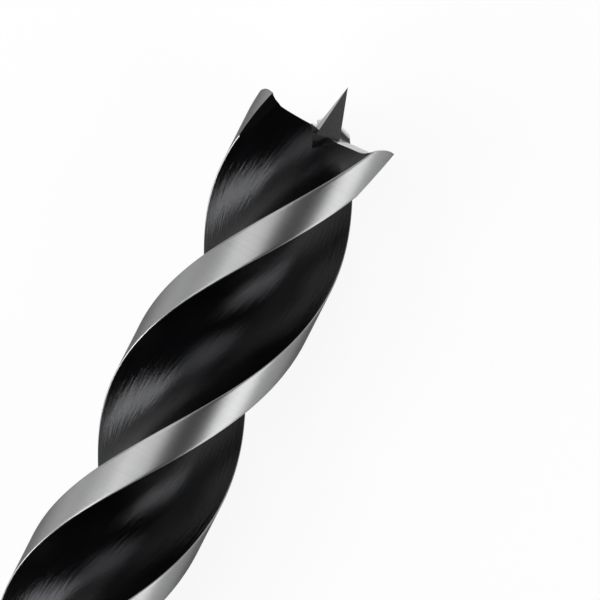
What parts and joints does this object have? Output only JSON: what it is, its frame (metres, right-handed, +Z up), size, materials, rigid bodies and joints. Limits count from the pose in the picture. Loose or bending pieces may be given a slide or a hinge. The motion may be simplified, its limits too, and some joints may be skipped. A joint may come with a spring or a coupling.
{
  "type": "auger drill bit",
  "caption": "Twisted auger drill bit with a sharp centre point, raised spur wings, bright ground helical lands and a slotted hammer-drill shank.",
  "frame": {"origin": "centre of the shank's flat end face", "axes": "+X along the bit's axis from the shank's end towards the centre point, +Z up with the bit lying on its side"},
  "size_m": [0.3, 0.03, 0.03],
  "materials": {
    "blackened_steel": "black oxide, polished on the shank, with bright ground lands and head"
  },
  "bodies": {
    "root": {"auger_bit": "blackened_steel"}
  },
  "joints": []
}
